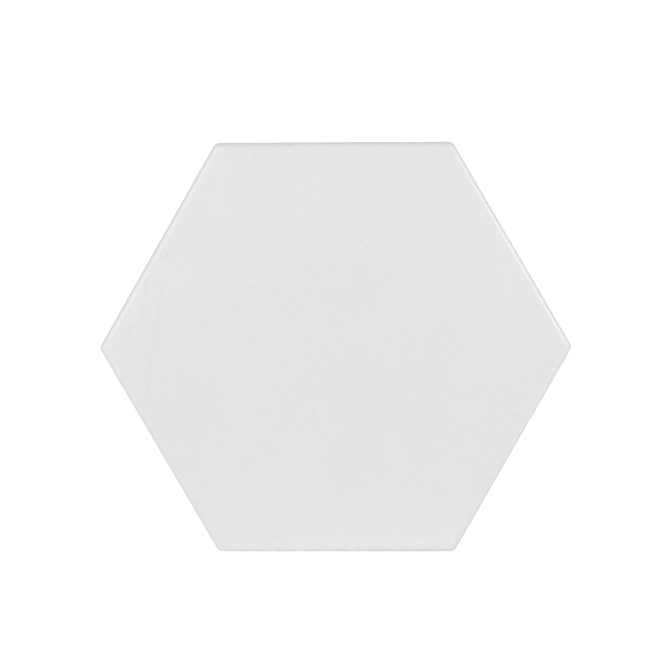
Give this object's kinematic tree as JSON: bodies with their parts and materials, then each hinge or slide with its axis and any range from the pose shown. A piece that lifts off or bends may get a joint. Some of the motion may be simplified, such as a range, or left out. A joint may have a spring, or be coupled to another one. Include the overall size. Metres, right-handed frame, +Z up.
{
  "type": "hexagon floor tile",
  "caption": "Flat hexagonal ceramic floor tile with a plain satin glazed face, a soft rounded edge, slightly drafted sides and a shallow honeycomb back for adhesive.",
  "frame": {"origin": "centre of the plane that the tile's back rests on", "axes": "+Z up through the glazed face, +X through two opposite corners, +Y square to two opposite sides"},
  "size_m": [0.201, 0.175, 0.009],
  "materials": {
    "glazed_tile": "satin"
  },
  "bodies": {
    "root": {"hexagon_tile": "glazed_tile"}
  },
  "joints": []
}
